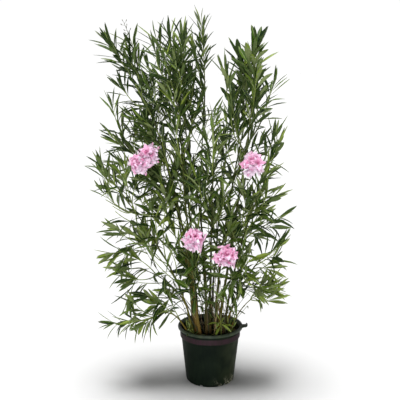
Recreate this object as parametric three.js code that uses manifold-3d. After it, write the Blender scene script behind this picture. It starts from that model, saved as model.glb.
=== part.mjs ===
import * as THREE from "three";
import { mergeVertices } from "three/addons/utils/BufferGeometryUtils.js";
import Module from "manifold-3d";

// A potted oleander: a nursery pot full of compost, canes that fan out of it,
// boughs that fork off the canes, and a mass of leaves round each shoot.
// Millimetres, +Z up, with the origin in the middle of the pot's flat underside.

const wasm = await Module();
wasm.setup();

// Driving dimensions.
const POT = {
  height: 265,
  baseRadius: 112,
  shoulderRadius: 134.5, // where the tapered body meets the collar
  collarRadius: 138,
  rimRadius: 151,
  wall: 3,
  collarHeight: 56, // below the rim's top, down to the small step
  lipHeight: 14,
  footRound: 4,
  sides: 32,
};
const BAND = { height: 24, thickness: 1.2, top: 239 };
const DRAIN = { count: 6, width: 14, height: 7, depth: 12, turn: 0.12 };
const LUG = { length: 25, width: 34, thickness: 5, lipHeight: 13, ribWidth: 6, ribHeight: 14 };
const COMPOST_TOP = 232;
const GAP = 0.3; // kept between pieces that touch
const SOCKET = 18; // how far a limb reaches into its mass
const LIMB_SIDES = 6;
const LIMB_STEPS = 6;
const MASS_SIDES = 8;
const MASS_RINGS = 6;

// Canes rise from the compost: foot [x, y], the end [x, y, z] where the leaves begin, and
// the radius at the foot. arch [out, up] is how far along the run and up the rise the
// curve's control point lies; most canes rise first and lean out later. bow moves it in X.
const CANES = [
  { name: "left_high", foot: [-58, -50], end: [-226, -40, 1150], girth: 9, arch: [0.25, 0.55] },
  { name: "left_bud", foot: [-68, -22], end: [-246, 70, 1190], girth: 8 },
  { name: "left_wide", foot: [-78, -64], end: [-366, -70, 862], girth: 6.5, arch: [0.1, 0.42] },
  { name: "left_low", foot: [-86, -2], end: [-300, -20, 535], girth: 5.5, arch: [0.04, 0.72] },
  { name: "left_drooping", foot: [-98, -60], end: [-250, -80, 336], girth: 4.5, arch: [0.4, 1.5] },
  { name: "mid_left", foot: [-48, -76], end: [-132, -95, 1190], girth: 8, bow: -40 },
  { name: "mid_rear", foot: [-56, 8], end: [-138, 45, 1240], girth: 8, bow: -8 },
  { name: "mid", foot: [-20, -52], end: [-100, -20, 1110], girth: 7.5, bow: 34 },
  { name: "tallest", foot: [-4, 8], end: [-30, 60, 1235], girth: 7, bow: -56 },
  { name: "front_tall", foot: [-2, -34], end: [10, -110, 1050], girth: 7 },
  { name: "rear", foot: [4, 44], end: [64, 165, 930], girth: 7.5 },
  { name: "right_rear", foot: [22, 26], end: [142, 70, 1130], girth: 8.5, arch: [0.2, 0.5] },
  { name: "right_high", foot: [36, -10], end: [160, -30, 1110], girth: 9, arch: [0.5, 0.5] },
  { name: "right_mid", foot: [62, -30], end: [172, -80, 790], girth: 7.5 },
  { name: "right_wide", foot: [68, 8], end: [236, -50, 610], girth: 6.5, arch: [0.35, 0.6] },
  { name: "right_low", foot: [88, -20], end: [212, -40, 418], girth: 4, arch: [0.42, 0.78] },
];

// Boughs fork off a cane: at is the share of the cane's length below the fork.
const BOUGHS = [
  { name: "left_arm", from: "left_bud", at: 0.66, end: [-356, 80, 1075] },
  { name: "left_low_upper", from: "left_low", at: 0.74, end: [-325, 55, 650] },
  { name: "right_arm", from: "right_high", at: 0.72, end: [212, -40, 1010] },
  { name: "right_rear_arm", from: "right_rear", at: 0.76, end: [190, 105, 1130] },
];

// Masses of leaves that run from a limb's end, or from the share of it named by at, to
// tip [x, y, z]. reach is the widest half-width across the view, and depth the half-width
// front to back as a share of that.
const MASSES = [
  { name: "left_high", on: "left_high", tip: [-485, -60, 1620], reach: 78, depth: 0.6 },
  { name: "left_bud", on: "left_bud", tip: [-384, 100, 1655], reach: 68, depth: 0.6 },
  { name: "left_arm", on: "left_arm", tip: [-458, 110, 1350], reach: 68, depth: 0.6 },
  { name: "left_knee", on: "left_high", at: 0.86, tip: [-318, -130, 1290], reach: 62, depth: 0.7 },
  { name: "left_inner", on: "left_bud", at: 0.58, tip: [-300, 170, 1020], reach: 80, depth: 0.7 },
  { name: "left_wide", on: "left_wide", tip: [-520, -100, 1095], reach: 92, depth: 0.5 },
  { name: "left_wing", on: "left_wide", at: 0.84, tip: [-550, 60, 890], reach: 72, depth: 0.6 },
  { name: "left_low", on: "left_low", tip: [-476, -50, 530], reach: 84, depth: 0.55 },
  { name: "left_low_upper", on: "left_low_upper", tip: [-508, 100, 700], reach: 78, depth: 0.55 },
  { name: "left_skirt", on: "left_low", at: 0.34, tip: [-362, -170, 452], reach: 66, depth: 0.8 },
  { name: "left_drooping", on: "left_drooping", tip: [-520, -110, 316], reach: 58, depth: 0.6 },
  { name: "mid_left", on: "mid_left", tip: [-262, -150, 1640], reach: 82, depth: 0.7 },
  { name: "mid_rear", on: "mid_rear", tip: [-193, 90, 1670], reach: 78, depth: 0.9 },
  { name: "mid", on: "mid", tip: [-118, -50, 1645], reach: 74, depth: 0.75 },
  { name: "tallest", on: "tallest", tip: [-50, 75, 1712], reach: 50, depth: 0.9 },
  { name: "front_tall", on: "front_tall", tip: [8, -210, 1300], reach: 70, depth: 0.8 },
  { name: "rear", on: "rear", tip: [88, 300, 1230], reach: 92, depth: 0.9 },
  { name: "rear_left", on: "mid_rear", at: 0.5, tip: [-190, 285, 980], reach: 84, depth: 0.9 },
  { name: "rear_skirt", on: "mid_rear", at: 0.2, tip: [-175, 215, 630], reach: 78, depth: 0.9 },
  { name: "right_rear", on: "right_rear", tip: [112, 120, 1580], reach: 78, depth: 0.8 },
  { name: "right_high", on: "right_high", tip: [200, -50, 1628], reach: 72, depth: 0.8 },
  { name: "right_inner", on: "right_high", at: 0.9, tip: [30, -140, 1505], reach: 60, depth: 0.8 },
  { name: "right_arm", on: "right_arm", tip: [302, -85, 1240], reach: 74, depth: 0.7 },
  { name: "right_rear_arm", on: "right_rear_arm", tip: [322, 150, 1438], reach: 68, depth: 0.7 },
  { name: "right_mid", on: "right_mid", tip: [272, -140, 1060], reach: 90, depth: 0.6 },
  { name: "right_wing", on: "right_mid", at: 0.76, tip: [392, 70, 800], reach: 84, depth: 0.7 },
  { name: "right_back", on: "right_rear", at: 0.34, tip: [246, 250, 700], reach: 84, depth: 0.9 },
  { name: "right_wide", on: "right_wide", tip: [378, -95, 720], reach: 80, depth: 0.7 },
  { name: "right_low", on: "right_low", tip: [352, -60, 480], reach: 80, depth: 0.7 },
  { name: "right_skirt", on: "right_mid", at: 0.36, tip: [200, -150, 440], reach: 60, depth: 0.8 },
];

// Masses of short shoots that sleeve a cane between two shares of its length, shift [x, y]
// off its middle.
const SLEEVES = [
  { name: "left_shoulder", on: "left_high", span: [0.62, 0.97], shift: [8, -20], reach: 84, depth: 0.6 },
  { name: "mid_shoulder", on: "mid_left", span: [0.6, 0.95], shift: [20, -20], reach: 78, depth: 0.7 },
  { name: "front", on: "front_tall", span: [0.48, 0.94], shift: [-8, -64], reach: 76, depth: 1 },
  { name: "front_left", on: "mid_left", span: [0.16, 0.52], shift: [-8, -56], reach: 72, depth: 1 },
  { name: "front_right", on: "front_tall", span: [0.18, 0.46], shift: [40, -50], reach: 78, depth: 0.8 },
  { name: "left_thicket", on: "left_wide", span: [0.48, 0.86], shift: [4, 26], reach: 62, depth: 0.7 },
  { name: "rear_low", on: "rear", span: [0.35, 0.92], shift: [-10, 60], reach: 88, depth: 0.9 },
];

const FULLEST = 0.78; // below 1, a mass is fullest nearer its foot than its tip
const BLUNTNESS = 0.65; // the lower it is, the rounder a mass's two ends

const potGreen = new THREE.MeshStandardMaterial({ color: 0x1d2a22, roughness: 0.5 });
const bandMaroon = new THREE.MeshStandardMaterial({ color: 0x37292a, roughness: 0.6 });
const compostBrown = new THREE.MeshStandardMaterial({ color: 0x2e2118, roughness: 0.95 });
const barkOlive = new THREE.MeshStandardMaterial({ color: 0x5b5a30, roughness: 0.8 });
const leafGreen = new THREE.MeshStandardMaterial({ color: 0x486030, roughness: 0.55 });

// A closed three.js geometry as a manifold-3d solid.
function solidOf(geometry) {
  const bare = geometry.index ? geometry.toNonIndexed() : geometry.clone();
  bare.deleteAttribute("normal");
  bare.deleteAttribute("uv");
  const merged = mergeVertices(bare);
  return new wasm.Manifold(
    new wasm.Mesh({
      numProp: 3,
      vertProperties: merged.attributes.position.array,
      triVerts: new Uint32Array(merged.index.array),
    }),
  );
}

// A solid as a named mesh.
function meshOf(name, solid, material) {
  const { vertProperties, triVerts } = solid.getMesh();
  const geometry = new THREE.BufferGeometry()
    .setAttribute("position", new THREE.BufferAttribute(vertProperties, 3))
    .setIndex(new THREE.BufferAttribute(triVerts, 1));
  geometry.computeVertexNormals();
  const mesh = new THREE.Mesh(geometry, material);
  mesh.name = name;
  return mesh;
}

// The largest body of a solid that cuts may have left in several.
function largest(solid) {
  return solid.decompose().reduce((a, b) => (b.volume() > a.volume() ? b : a));
}

// Profile [radius, height] points turned round the vertical axis.
function turned(profile) {
  const points = profile.map(([r, z]) => new THREE.Vector2(r, z));
  return new THREE.LatheGeometry(points, POT.sides).rotateX(Math.PI / 2);
}

function box(width, depth, height, x, y, z) {
  return new THREE.BoxGeometry(width, depth, height).translate(x, y, z);
}

function makePot() {
  const { height, baseRadius, shoulderRadius, collarRadius, rimRadius, wall, footRound } = POT;
  const step = height - POT.collarHeight;
  const lip = height - POT.lipHeight;
  const outside = [
    [0, 0],
    [baseRadius - footRound, 0],
    [baseRadius, footRound],
    [shoulderRadius, step],
    [collarRadius, step + 4],
    [collarRadius + 1, lip],
    [rimRadius, lip + 2],
    [rimRadius + 1, lip + 8],
    [rimRadius - 2, height],
  ];
  const inside = [
    [collarRadius + 3, height],
    [collarRadius + 1 - wall, lip],
    [collarRadius - wall, step + 4],
    [shoulderRadius - wall, step - 2],
    [baseRadius + 1 - wall, wall + 3],
    [0, wall + 3],
  ];
  let pot = solidOf(turned([...outside, ...inside]));
  for (let i = 0; i < DRAIN.count; i++) {
    const notch = box(DRAIN.depth, DRAIN.width, DRAIN.height, baseRadius - 2, 0, DRAIN.height / 2 + 4);
    notch.rotateZ((i / DRAIN.count + DRAIN.turn) * 2 * Math.PI);
    pot = pot.subtract(solidOf(notch));
  }
  return pot.add(makeLug());
}

// A lifting lug on the rim's +X side: a tab with an upturned end, on a rib.
function makeLug() {
  const { length, width, thickness, lipHeight, ribWidth, ribHeight } = LUG;
  const root = POT.rimRadius - 3; // inside the rim, so that the two join
  const level = POT.height - POT.lipHeight / 2;
  const tab = box(length, width, thickness, root + length / 2, 0, level);
  const lipLevel = level + (lipHeight - thickness) / 2;
  const lip = box(thickness, width, lipHeight, root + length, 0, lipLevel);
  const ribLength = length * 0.6;
  const rib = box(ribLength, ribWidth, ribHeight, root + ribLength / 2, 0, level - ribHeight / 2);
  return solidOf(tab).add(solidOf(lip)).add(solidOf(rib));
}

function makeBand() {
  const inner = POT.collarRadius + 1 + GAP;
  const outer = inner + BAND.thickness;
  const low = BAND.top - BAND.height;
  const ring = [
    [inner, low],
    [outer, low],
    [outer, BAND.top],
    [inner, BAND.top],
    [inner, low],
  ];
  return solidOf(turned(ring));
}

function makeCompost() {
  const floor = POT.wall + 3 + GAP;
  const inset = POT.wall + 2 * GAP;
  const step = POT.height - POT.collarHeight;
  return solidOf(
    turned([
      [0, floor],
      [POT.baseRadius + 1 - inset, floor],
      [POT.shoulderRadius - inset, step - 2],
      [POT.collarRadius - inset, step + 4],
      [POT.collarRadius - inset, COMPOST_TOP],
      [0, COMPOST_TOP],
    ]),
  );
}

// Wraps an upright unit geometry round a curve. shareOf gives a vertex's place along the
// curve, and width its half-width there. level keeps the first ring flat.
function wrap(geometry, curve, { shareOf, width, depth = 1, grow = 0, level = false }) {
  const places = geometry.attributes.position;
  for (let i = 0; i < places.count; i++) {
    const [x, y, z] = [places.getX(i), places.getY(i), places.getZ(i)];
    const share = shareOf(y);
    const out = Math.hypot(x, z) > 1e-6 ? 1 : 0; // 0 at a pole or a cap's middle
    const angle = Math.atan2(z, x);
    const along = level && share === 0 ? new THREE.Vector3(0, 0, 1) : curve.getTangent(share);
    const side = new THREE.Vector3().crossVectors(along, new THREE.Vector3(0, 1, 0)).normalize();
    const front = new THREE.Vector3().crossVectors(side, along);
    const half = width(share, angle);
    const place = curve.getPoint(share);
    place.addScaledVector(side, out * Math.cos(angle) * (half + grow));
    place.addScaledVector(front, out * Math.sin(angle) * (half * depth + grow));
    if (share === 1) place.addScaledVector(along, grow);
    if (share === 0) place.addScaledVector(along, -grow);
    places.setXYZ(i, place.x, place.y, place.z);
  }
  return solidOf(geometry);
}

// A limb is a curve with the radius it starts from: a cane stands in the compost, and a
// bough starts on its parent's curve.
function caneOf({ foot, end, girth, arch = [0.3, 0.55], bow = 0 }) {
  const low = new THREE.Vector3(...foot, COMPOST_TOP + GAP);
  const high = new THREE.Vector3(...end);
  const control = new THREE.Vector3(
    low.x + (high.x - low.x) * arch[0] + bow,
    low.y + (high.y - low.y) * arch[0],
    low.z + (high.z - low.z) * arch[1],
  );
  return { curve: new THREE.QuadraticBezierCurve3(low, control, high), girth, rooted: true };
}

function boughOf({ from, at, end }) {
  const parent = limbs.get(from);
  const fork = parent.curve.getPoint(at);
  const high = new THREE.Vector3(...end);
  const heading = parent.curve.getTangent(at);
  const control = fork.clone().addScaledVector(heading, 0.25 * fork.distanceTo(high));
  control.lerp(fork.clone().lerp(high, 0.5), 0.5);
  const girth = 0.72 * limbRadius(parent, at);
  return { curve: new THREE.QuadraticBezierCurve3(fork, control, high), girth, parent: from };
}

// A limb tapers evenly to under half its girth, and a cane flares at its foot.
function limbRadius({ curve, girth, rooted }, share) {
  const flare = rooted ? 0.35 * Math.exp((-share * curve.getLength()) / 30) : 0;
  return girth * (1 - 0.58 * share + flare);
}

function limbSolid(limb, grow = 0) {
  const tube = new THREE.CylinderGeometry(1, 1, 1, LIMB_SIDES, LIMB_STEPS);
  return wrap(tube, limb.curve, {
    shareOf: (y) => THREE.MathUtils.clamp(y + 0.5, 0, 1),
    width: (share) => limbRadius(limb, share),
    grow,
    level: limb.rooted,
  });
}

// A mass of leaves round a curve, lumpy in its own way.
function massSolid({ curve, reach, depth, seed }, grow = 0) {
  const ball = new THREE.SphereGeometry(1, MASS_SIDES, MASS_RINGS);
  const fullness = (share) => Math.sin(Math.PI * share ** FULLEST) ** BLUNTNESS;
  const lumps = (share, angle) =>
    1 +
    0.15 * Math.sin(2 * angle + 1.7 * seed + 5 * share) +
    0.11 * Math.sin(3 * angle - 2.3 * seed + 9 * share);
  return wrap(ball, curve, {
    shareOf: (y) => 1 - Math.acos(THREE.MathUtils.clamp(y, -1, 1)) / Math.PI,
    width: (share, angle) => reach * fullness(share) * lumps(share, angle),
    depth,
    grow,
  });
}

// A mass on a limb's end sets off as the limb does and turns to its tip. One on a limb's
// side bends less.
function massOn({ name, on, at = 1, tip, reach, depth }, seed) {
  const { curve } = limbs.get(on);
  const heading = curve.getTangent(at);
  const foot = curve.getPoint(at).addScaledVector(heading, at === 1 ? -SOCKET : 0);
  const far = new THREE.Vector3(...tip);
  const rise = (at === 1 ? 0.4 : 0.15) * foot.distanceTo(far);
  const control = foot.clone().addScaledVector(heading, rise);
  if (at < 1) control.addScaledVector(far.clone().sub(foot), 0.3);
  return { name, curve: new THREE.QuadraticBezierCurve3(foot, control, far), reach, depth, seed };
}

function sleeveOn({ name, on, span, shift, reach, depth }, seed) {
  const { curve } = limbs.get(on);
  const middle = (span[0] + span[1]) / 2;
  const [low, control, high] = [span[0], middle, span[1]].map((share) => {
    const aside = new THREE.Vector3(shift[0], shift[1], 0);
    return curve.getPoint(share).add(aside);
  });
  return { name, curve: new THREE.QuadraticBezierCurve3(low, control, high), reach, depth, seed };
}

const limbs = new Map();
for (const cane of CANES) limbs.set(cane.name, caneOf(cane));
for (const bough of BOUGHS) limbs.set(bough.name, boughOf(bough));

const masses = [
  ...MASSES.map((mass, i) => massOn(mass, i)),
  ...SLEEVES.map((sleeve, i) => sleeveOn(sleeve, MASSES.length + i)),
];

const plant = new THREE.Group();
plant.add(meshOf("pot", makePot(), potGreen));
plant.add(meshOf("pot_band", makeBand(), bandMaroon));
plant.add(meshOf("compost", makeCompost(), compostBrown));

for (const [name, limb] of limbs) {
  let solid = limbSolid(limb);
  if (limb.parent) solid = largest(solid.subtract(limbSolid(limbs.get(limb.parent), GAP)));
  plant.add(meshOf((limb.rooted ? "cane_" : "bough_") + name, solid, barkOlive));
}

// Each mass is cut round the limbs that enter it or run through it, and round the masses
// made before it.
const limbRoom = [...limbs.values()].map((limb) => limbSolid(limb, GAP));
const massRoom = [];
for (const mass of masses) {
  let solid = massSolid(mass);
  for (const room of [...limbRoom, ...massRoom]) solid = solid.subtract(room);
  plant.add(meshOf("leaves_" + mass.name, largest(solid), leafGreen));
  massRoom.push(massSolid(mass, GAP));
}

export default plant;
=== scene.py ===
"""A potted oleander: barked limbs, leafy shoots, flower heads, compost and a nursery pot.

The limbs and masses of leaves are read from the CAD solids. Barked meshes replace the limbs, and
shoots that grow on from them by a seeded rule replace the masses. Lengths are in metres.
"""

import zlib
from math import acos, cos, exp, hypot, pi, radians, sin, sqrt

import bpy
import numpy as np
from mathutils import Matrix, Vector
from numpy.linalg import norm


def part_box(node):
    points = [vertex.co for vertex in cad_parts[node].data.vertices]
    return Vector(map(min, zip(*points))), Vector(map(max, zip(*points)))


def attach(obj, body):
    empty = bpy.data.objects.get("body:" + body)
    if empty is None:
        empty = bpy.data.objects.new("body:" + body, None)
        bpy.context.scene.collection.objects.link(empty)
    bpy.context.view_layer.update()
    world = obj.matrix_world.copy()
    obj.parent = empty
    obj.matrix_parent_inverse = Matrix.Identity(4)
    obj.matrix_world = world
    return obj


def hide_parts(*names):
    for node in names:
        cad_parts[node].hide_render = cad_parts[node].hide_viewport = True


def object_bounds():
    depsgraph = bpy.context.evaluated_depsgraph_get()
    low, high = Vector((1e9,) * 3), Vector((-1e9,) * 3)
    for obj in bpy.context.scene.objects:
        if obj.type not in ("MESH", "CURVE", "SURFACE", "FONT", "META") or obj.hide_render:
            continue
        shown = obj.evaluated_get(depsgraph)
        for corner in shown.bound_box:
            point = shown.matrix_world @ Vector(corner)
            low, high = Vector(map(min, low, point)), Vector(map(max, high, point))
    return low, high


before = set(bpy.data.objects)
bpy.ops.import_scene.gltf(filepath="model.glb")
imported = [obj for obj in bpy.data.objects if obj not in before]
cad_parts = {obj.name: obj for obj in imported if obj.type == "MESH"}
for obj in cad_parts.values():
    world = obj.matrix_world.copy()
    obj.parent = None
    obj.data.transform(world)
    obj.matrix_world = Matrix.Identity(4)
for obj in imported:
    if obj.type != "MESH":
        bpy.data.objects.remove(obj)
cad_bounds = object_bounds()

BODY = "root"
RIGHT, BACK, UP = np.eye(3)
GOLDEN_ANGLE = radians(137.508)
SHOOT_STEP = 0.009  # from one point of a shoot's curve to the next
EYE = np.array([-0.0475, -3.3, 1.5])  # where the plant is seen from in the front view

# Boughs and the canes they leave. Every other limb is a cane that stands in the compost.
BOUGH_PARENTS = dict(
    left_arm="left_bud", left_low_upper="left_low",
    right_arm="right_high", right_rear_arm="right_rear",
)
# Masses on the side of a limb, and masses round a stretch of one. The others cap their own limb.
SIDE_HOSTS = dict(
    left_knee="left_high", left_inner="left_bud", left_wing="left_wide", left_skirt="left_low",
    rear_left="mid_rear", rear_skirt="mid_rear",
    right_inner="right_high", right_wing="right_mid", right_back="right_rear",
    right_skirt="right_mid",
)
SLEEVE_HOSTS = dict(
    left_shoulder="left_high", left_thicket="left_wide", mid_shoulder="mid_left", rear_low="rear",
    front="front_tall", front_left="mid_left", front_right="front_tall",
)


# ---- vectors and lines


def unit(v):
    return v / max(norm(v), 1e-12)


def square_to(v, along):
    """The unit vector nearest to v of all those square to `along`."""
    return unit(v - along * (v @ along))


def across(direction):
    """Two unit vectors square to a direction and to each other."""
    first = unit(np.cross(direction, RIGHT if abs(direction[0]) < 0.8 else BACK))
    return first, np.cross(direction, first)


def view_axes(direction):
    """The same, with the first across the front view and the second mostly from front to back."""
    wide = unit(np.cross(direction, BACK))
    return wide, np.cross(wide, direction)


def spoke(axes, angle):
    """The unit vector at an angle in the plane of two others."""
    return cos(angle) * axes[0] + sin(angle) * axes[1]


def polar(out, turn, height):
    """A point at a distance and a turn from the plant's upright axis."""
    return np.array([out * cos(turn), out * sin(turn), height])


def circle(count):
    """Angles evenly round a circle."""
    return np.arange(count) * 2 * pi / count


def seeded(name):
    """A random generator that a name always starts in the same way."""
    return np.random.default_rng(zlib.crc32(name.encode()))


def in_disc(radius, rng):
    """A random distance and turn, spread evenly over a disc."""
    return radius * sqrt(rng.random()), rng.uniform(0, 2 * pi)


def bezier(start, control, end, spacing=SHOOT_STEP):
    """Points about `spacing` apart on a curve with one control point."""
    length = norm(control - start) + norm(end - control)
    t = np.linspace(0, 1, max(4, int(length / spacing)))[:, None]
    return (1 - t) ** 2 * start + 2 * t * (1 - t) * control + t**2 * end


def headings(points):
    """The unit direction of a polyline at each of its points."""
    steps = np.gradient(points, axis=0)
    return steps / norm(steps, axis=1)[:, None]


class Line:
    """A polyline that can be read at any distance, or at many, from its start."""

    def __init__(self, points):
        self.points = points
        steps = norm(np.diff(points, axis=0), axis=1)
        self.along = np.concatenate([[0], np.cumsum(steps)])
        self.heading = headings(points)
        self.length = self.along[-1]

    def read(self, values, distance):
        return np.array([np.interp(distance, self.along, column) for column in values.T]).T

    def at(self, distance):
        return self.read(self.points, distance)

    def direction(self, distance):
        return unit(self.read(self.heading, distance))

    def gaps(self, place):
        """How far each of the line's points is from a place."""
        return norm(self.points - place, axis=1)

    def nearest(self, place):
        """The distance along the line of its point nearest to a place."""
        return self.along[np.argmin(self.gaps(place))]


# ---- reading the CAD solids

SLICES = 25
FIRST_SLICE, LAST_SLICE = 0.03, 0.97
LIMB_POINTS = 200
HEXAGON = 2.598  # a six-sided limb's section is this times its radius squared
EDGES = ((0, 1), (1, 2), (2, 0))
LEADER_MARGIN = 0.080  # from the end of a leading shoot to the end of its mass
LEADER_MARGINS = {"tallest": 0.062}
LEADER_START = 0.12  # the share of a mass where its leading shoot takes to the middle
LEADER_POINTS = 40
ROOT_POINTS = 30  # how much of a limb its leading shoot runs on from
ROOT_BELOW = 0.03  # how far below a mass on its side the leading shoot leaves it
SMOOTHINGS = 3


def named(prefix):
    """The names of the CAD nodes of one kind, without their prefix."""
    return sorted(node.removeprefix(prefix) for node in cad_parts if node.startswith(prefix))


def vertices_of(node):
    return np.array([vertex.co[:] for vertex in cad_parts[node].data.vertices])


def triangles_of(node):
    """The corner points of a CAD node's triangles, shaped (triangles, 3, 3)."""
    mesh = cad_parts[node].data
    mesh.calc_loop_triangles()
    return vertices_of(node)[np.array([triangle.vertices[:] for triangle in mesh.loop_triangles])]


def met(triangles, side, i, j, crossing):
    """Where the edge from corner i to j of the crossing triangles meets a plane.

    `side` is how far each corner lies on the far side of the plane.
    """
    a, b = side[crossing, i], side[crossing, j]
    share = (a / (a - b))[:, None]
    return triangles[crossing, i] * (1 - share) + triangles[crossing, j] * share


def section(triangles, origin, normal, wide, deep):
    """Centre, area and two half-widths of the cut that a plane makes through a closed solid."""
    side = (triangles - origin) @ normal
    rising, falling = np.zeros((2, len(triangles), 3))
    cut = np.zeros(len(triangles), bool)
    for i, j in EDGES:
        a, b = side[:, i], side[:, j]
        for ends, crossing in ((rising, (a < 0) & (b >= 0)), (falling, (a >= 0) & (b < 0))):
            ends[crossing] = met(triangles, side, i, j, crossing)
            cut |= crossing
    rising, falling = rising[cut] - origin, falling[cut] - origin
    areas = 0.5 * np.cross(rising, falling) @ normal
    total = areas.sum()
    if abs(total) < 1e-8:
        return None
    centre = (areas[:, None] * (rising + falling) / 3).sum(0) / total
    return origin + centre, abs(total), np.ptp(rising @ wide) / 2, np.ptp(rising @ deep) / 2


def slices(node, foot, tip):
    """Shares of the way from foot to tip, and the cut's centre, area and half-widths at each."""
    triangles = triangles_of(node)
    chord = tip - foot
    normal = unit(chord)
    shares = np.linspace(FIRST_SLICE, LAST_SLICE, SLICES)
    cuts = [section(triangles, foot + s * chord, normal, *view_axes(normal)) for s in shares]
    rows = [(share, *cut) for share, cut in zip(shares, cuts) if cut]
    return [np.array(column) for column in zip(*rows)]


def smoothed(shares, points, fine, degree):
    """A polynomial curve through a row of points, read at finer shares of its length."""
    fits = [np.polyfit(shares, column, degree) for column in points.T]
    return np.stack([np.polyval(fit, fine) for fit in fits], axis=1)


class Limb(Line):
    """A cane's or bough's centreline and radii, read from its CAD solid."""

    def __init__(self, node, foot, tip):
        self.node = node
        shares, centres, areas, _, _ = slices(node, foot, tip)
        fine = np.linspace(0, 1, LIMB_POINTS)
        super().__init__(smoothed(shares, centres, fine, degree=4))
        lean = np.abs(self.heading @ unit(tip - foot))
        radii = np.sqrt(np.interp(fine, shares, areas) * lean / HEXAGON)
        self.radii = np.polyval(np.polyfit(fine, radii, 5), fine)


def ends_of(points):
    """Two points of a long solid that are about as far apart as any."""
    first = points[np.argmax(norm(points - points.mean(0), axis=1))]
    second = points[np.argmax(norm(points - first, axis=1))]
    return first, second


def read_limbs():
    limbs = {}
    for name in named("cane_"):
        node = "cane_" + name
        limbs[name] = Limb(node, *sorted(ends_of(vertices_of(node)), key=lambda p: p[2]))
    for name, parent in BOUGH_PARENTS.items():
        node = "bough_" + name
        ends = sorted(ends_of(vertices_of(node)), key=lambda p: limbs[parent].gaps(p).min())
        limbs[name] = Limb(node, *ends)
    return limbs


class Mass:
    """The room that one CAD mass of leaves gives to the shoots that replace it.

    Its carrier is the line that its side shoots leave, between the distances start and end.
    """

    def __init__(self, name, limbs):
        self.name = name
        self.node = "leaves_" + name
        self.kind = "side" if name in SIDE_HOSTS else "sleeve" if name in SLEEVE_HOSTS else "end"
        self.host = limbs[SIDE_HOSTS.get(name) or SLEEVE_HOSTS.get(name) or name]
        points = vertices_of(self.node)
        self.height = points[:, 2].mean()
        foot, tip = self.reach(points)
        self.shares, centres, _, self.wides, self.deeps = slices(self.node, foot, tip)
        if self.kind == "sleeve":
            self.carrier = self.host
            self.start, self.end = (self.host.nearest(p) for p in (centres[0], centres[-1]))
        else:
            self.carrier = self.leader(foot, tip, centres)
            self.start, self.end = self.carrier.nearest(foot), self.carrier.length

    def reach(self, points):
        """The mass's foot, where it is nearest its limb or the limb's own foot, and its tip."""
        if self.kind == "sleeve":
            return sorted(ends_of(points), key=self.host.nearest)
        if self.kind == "end":
            foot = self.host.points[-1]
        else:
            foot = points[np.argmin([self.host.gaps(p).min() for p in points])]
        return foot, points[np.argmax(norm(points - foot, axis=1))]

    def leader(self, foot, tip, centres):
        """A shoot that runs on from the limb, along the middle of the mass, nearly to its end."""
        margin = LEADER_MARGINS.get(self.name, LEADER_MARGIN)
        last = 1 - margin / norm(tip - foot)
        fine = np.linspace(LEADER_START, last, LEADER_POINTS)
        middle = smoothed(self.shares, centres, fine, degree=3)
        if self.kind == "end":
            root = self.host.points[-ROOT_POINTS:]
        else:
            root = self.host.at(self.host.nearest(foot) - ROOT_BELOW)[None]
        rough = Line(np.concatenate([root, middle]))
        points = rough.at(np.arange(0, rough.length, SHOOT_STEP))
        for _ in range(SMOOTHINGS):
            points[1:-1] = 0.25 * points[:-2] + 0.5 * points[1:-1] + 0.25 * points[2:]
        return Line(points)

    def offset(self, distance, azimuth, share_out):
        """A step out from the carrier, by a share of the mass's half-width that way."""
        share = (distance - self.start) / max(self.end - self.start, 1e-6)
        wide, deep = view_axes(self.carrier.direction(distance))
        half_wide, half_deep = (np.interp(share, self.shares, h) for h in (self.wides, self.deeps))
        return share_out * (half_wide * cos(azimuth) * wide + half_deep * sin(azimuth) * deep)


# ---- joined mesh pieces


def placed(name, data):
    """A new object in the scene."""
    item = bpy.data.objects.new(name, data)
    bpy.context.scene.collection.objects.link(item)
    return item


class Piece:
    """Closed bodies of one kind, gathered and then made into one mesh object."""

    def __init__(self, name, slot, materials):
        self.name = name
        self.slot = slot
        self.materials = materials
        self.points, self.faces, self.tints = [], [], []
        self.count = 0

    def add(self, points, faces, tints):
        """faces is a list of arrays of corners, and tints a list of material numbers to match."""
        for block, tint in zip(faces, tints):
            self.faces.append(block + self.count)
            self.tints.append(np.broadcast_to(tint, (len(block),)))
        self.points.append(points)
        self.count += len(points)

    def build(self, replaced=(), sharp=50):
        """sharp is the angle from which an edge stays sharp, in degrees, or 0 for flat faces."""
        mesh = bpy.data.meshes.new(self.name)
        faces = [face for block in self.faces for face in block.tolist()]
        mesh.from_pydata(np.concatenate(self.points).tolist(), [], faces)
        for material in self.materials:
            mesh.materials.append(material)
        tints = np.concatenate(self.tints).astype(np.int32)
        mesh.polygons.foreach_set("material_index", tints)
        mesh.polygons.foreach_set("use_smooth", np.full(len(faces), sharp > 0))
        if sharp:
            mesh.set_sharp_from_angle(angle=radians(sharp))
        mesh.update()
        piece = placed(self.name, mesh)
        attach(piece, BODY)
        if replaced:
            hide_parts(*replaced)


def wall_faces(rings, sides, joined=False):
    """Quads from ring to ring of a tube, and from the last back to the first if it is joined."""
    i = np.arange(sides)
    j = (i + 1) % sides
    low = np.arange(rings if joined else rings - 1)[:, None] * sides
    high = (low + sides) % (rings * sides)
    return np.stack([low + i, low + j, high + j, high + i], axis=-1).reshape(-1, 4)


def tube_faces(rings, sides):
    """A tube's quads, and the fans that close it to a point at each end."""
    i = np.arange(sides)
    j = (i + 1) % sides
    foot, top, last = rings * sides, rings * sides + 1, (rings - 1) * sides
    bottom = np.stack([j, i, np.full(sides, foot)], axis=1)
    cap = np.stack([last + i, last + j, np.full(sides, top)], axis=1)
    return wall_faces(rings, sides), np.concatenate([bottom, cap])


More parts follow.
